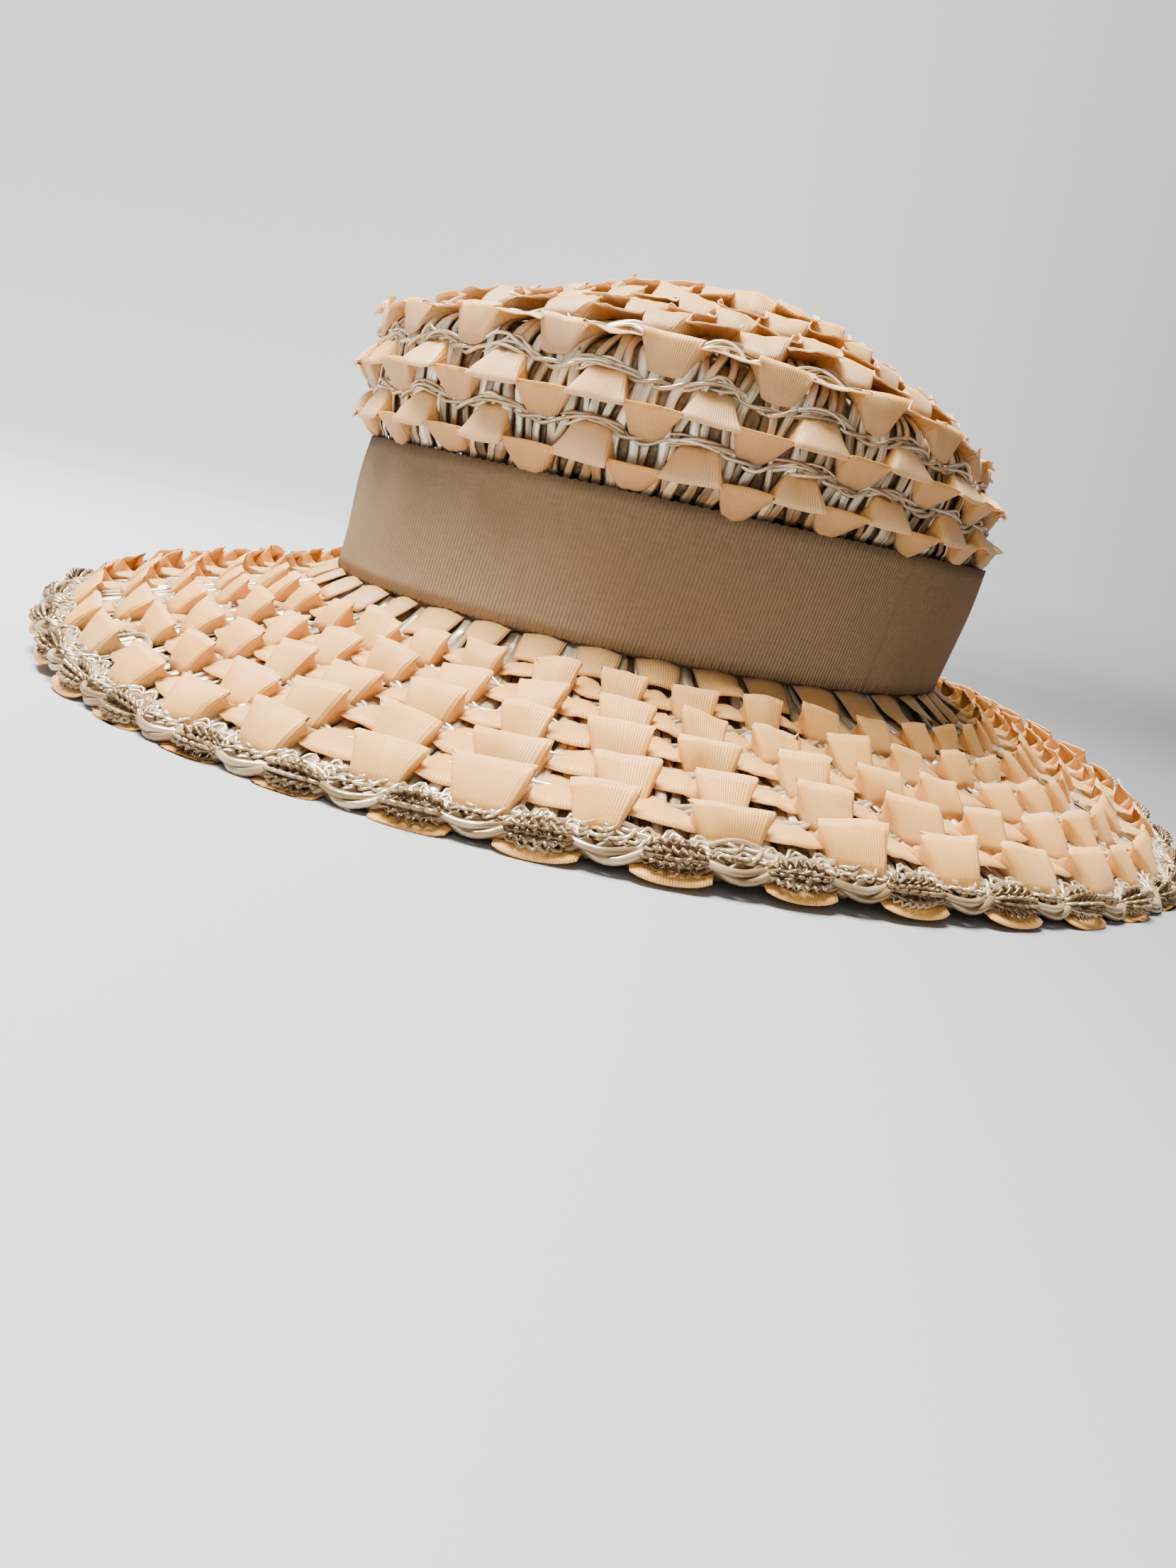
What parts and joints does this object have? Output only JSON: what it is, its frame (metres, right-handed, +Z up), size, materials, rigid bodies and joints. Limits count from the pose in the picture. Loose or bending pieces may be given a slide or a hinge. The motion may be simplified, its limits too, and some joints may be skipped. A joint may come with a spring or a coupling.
{
  "type": "wide-brimmed straw sun hat",
  "caption": "Wide-brimmed sun hat: soft rounded crown and wavy brim of open straw with rows of woven-in ribbon, a plain ribbon band and a thick straw cord along the rim.",
  "frame": {"origin": "centre of the brim's outline, on the surface that the rim rests on", "axes": "+Z up out of the crown, -Y towards the front of the hat, +X towards the wearer's left"},
  "size_m": [0.3374, 0.3652, 0.1364],
  "materials": {
    "peach_ribbon": "pale peach ribbed satin ribbon",
    "silver_straw": "glossy silver-cream cellophane straw",
    "tan_band": "matt tan ribbed grosgrain ribbon"
  },
  "bodies": {
    "root": {"crown_wall": "silver_straw", "crown_straw": "silver_straw", "brim_straw": "silver_straw", "edge_cord": "silver_straw", "hat_band": "tan_band", "crown_ribbon_1": "peach_ribbon", "crown_ribbon_2": "peach_ribbon", "crown_ribbon_3": "peach_ribbon", "crown_ribbon_4": "peach_ribbon", "crown_ribbon_5": "peach_ribbon", "crown_ribbon_6": "peach_ribbon", "crown_ribbon_7": "peach_ribbon", "crown_ribbon_8": "peach_ribbon", "brim_ribbon_1": "peach_ribbon", "brim_ribbon_2": "peach_ribbon", "brim_ribbon_3": "peach_ribbon", "brim_ribbon_4": "peach_ribbon", "brim_ribbon_5": "peach_ribbon"}
  },
  "joints": []
}
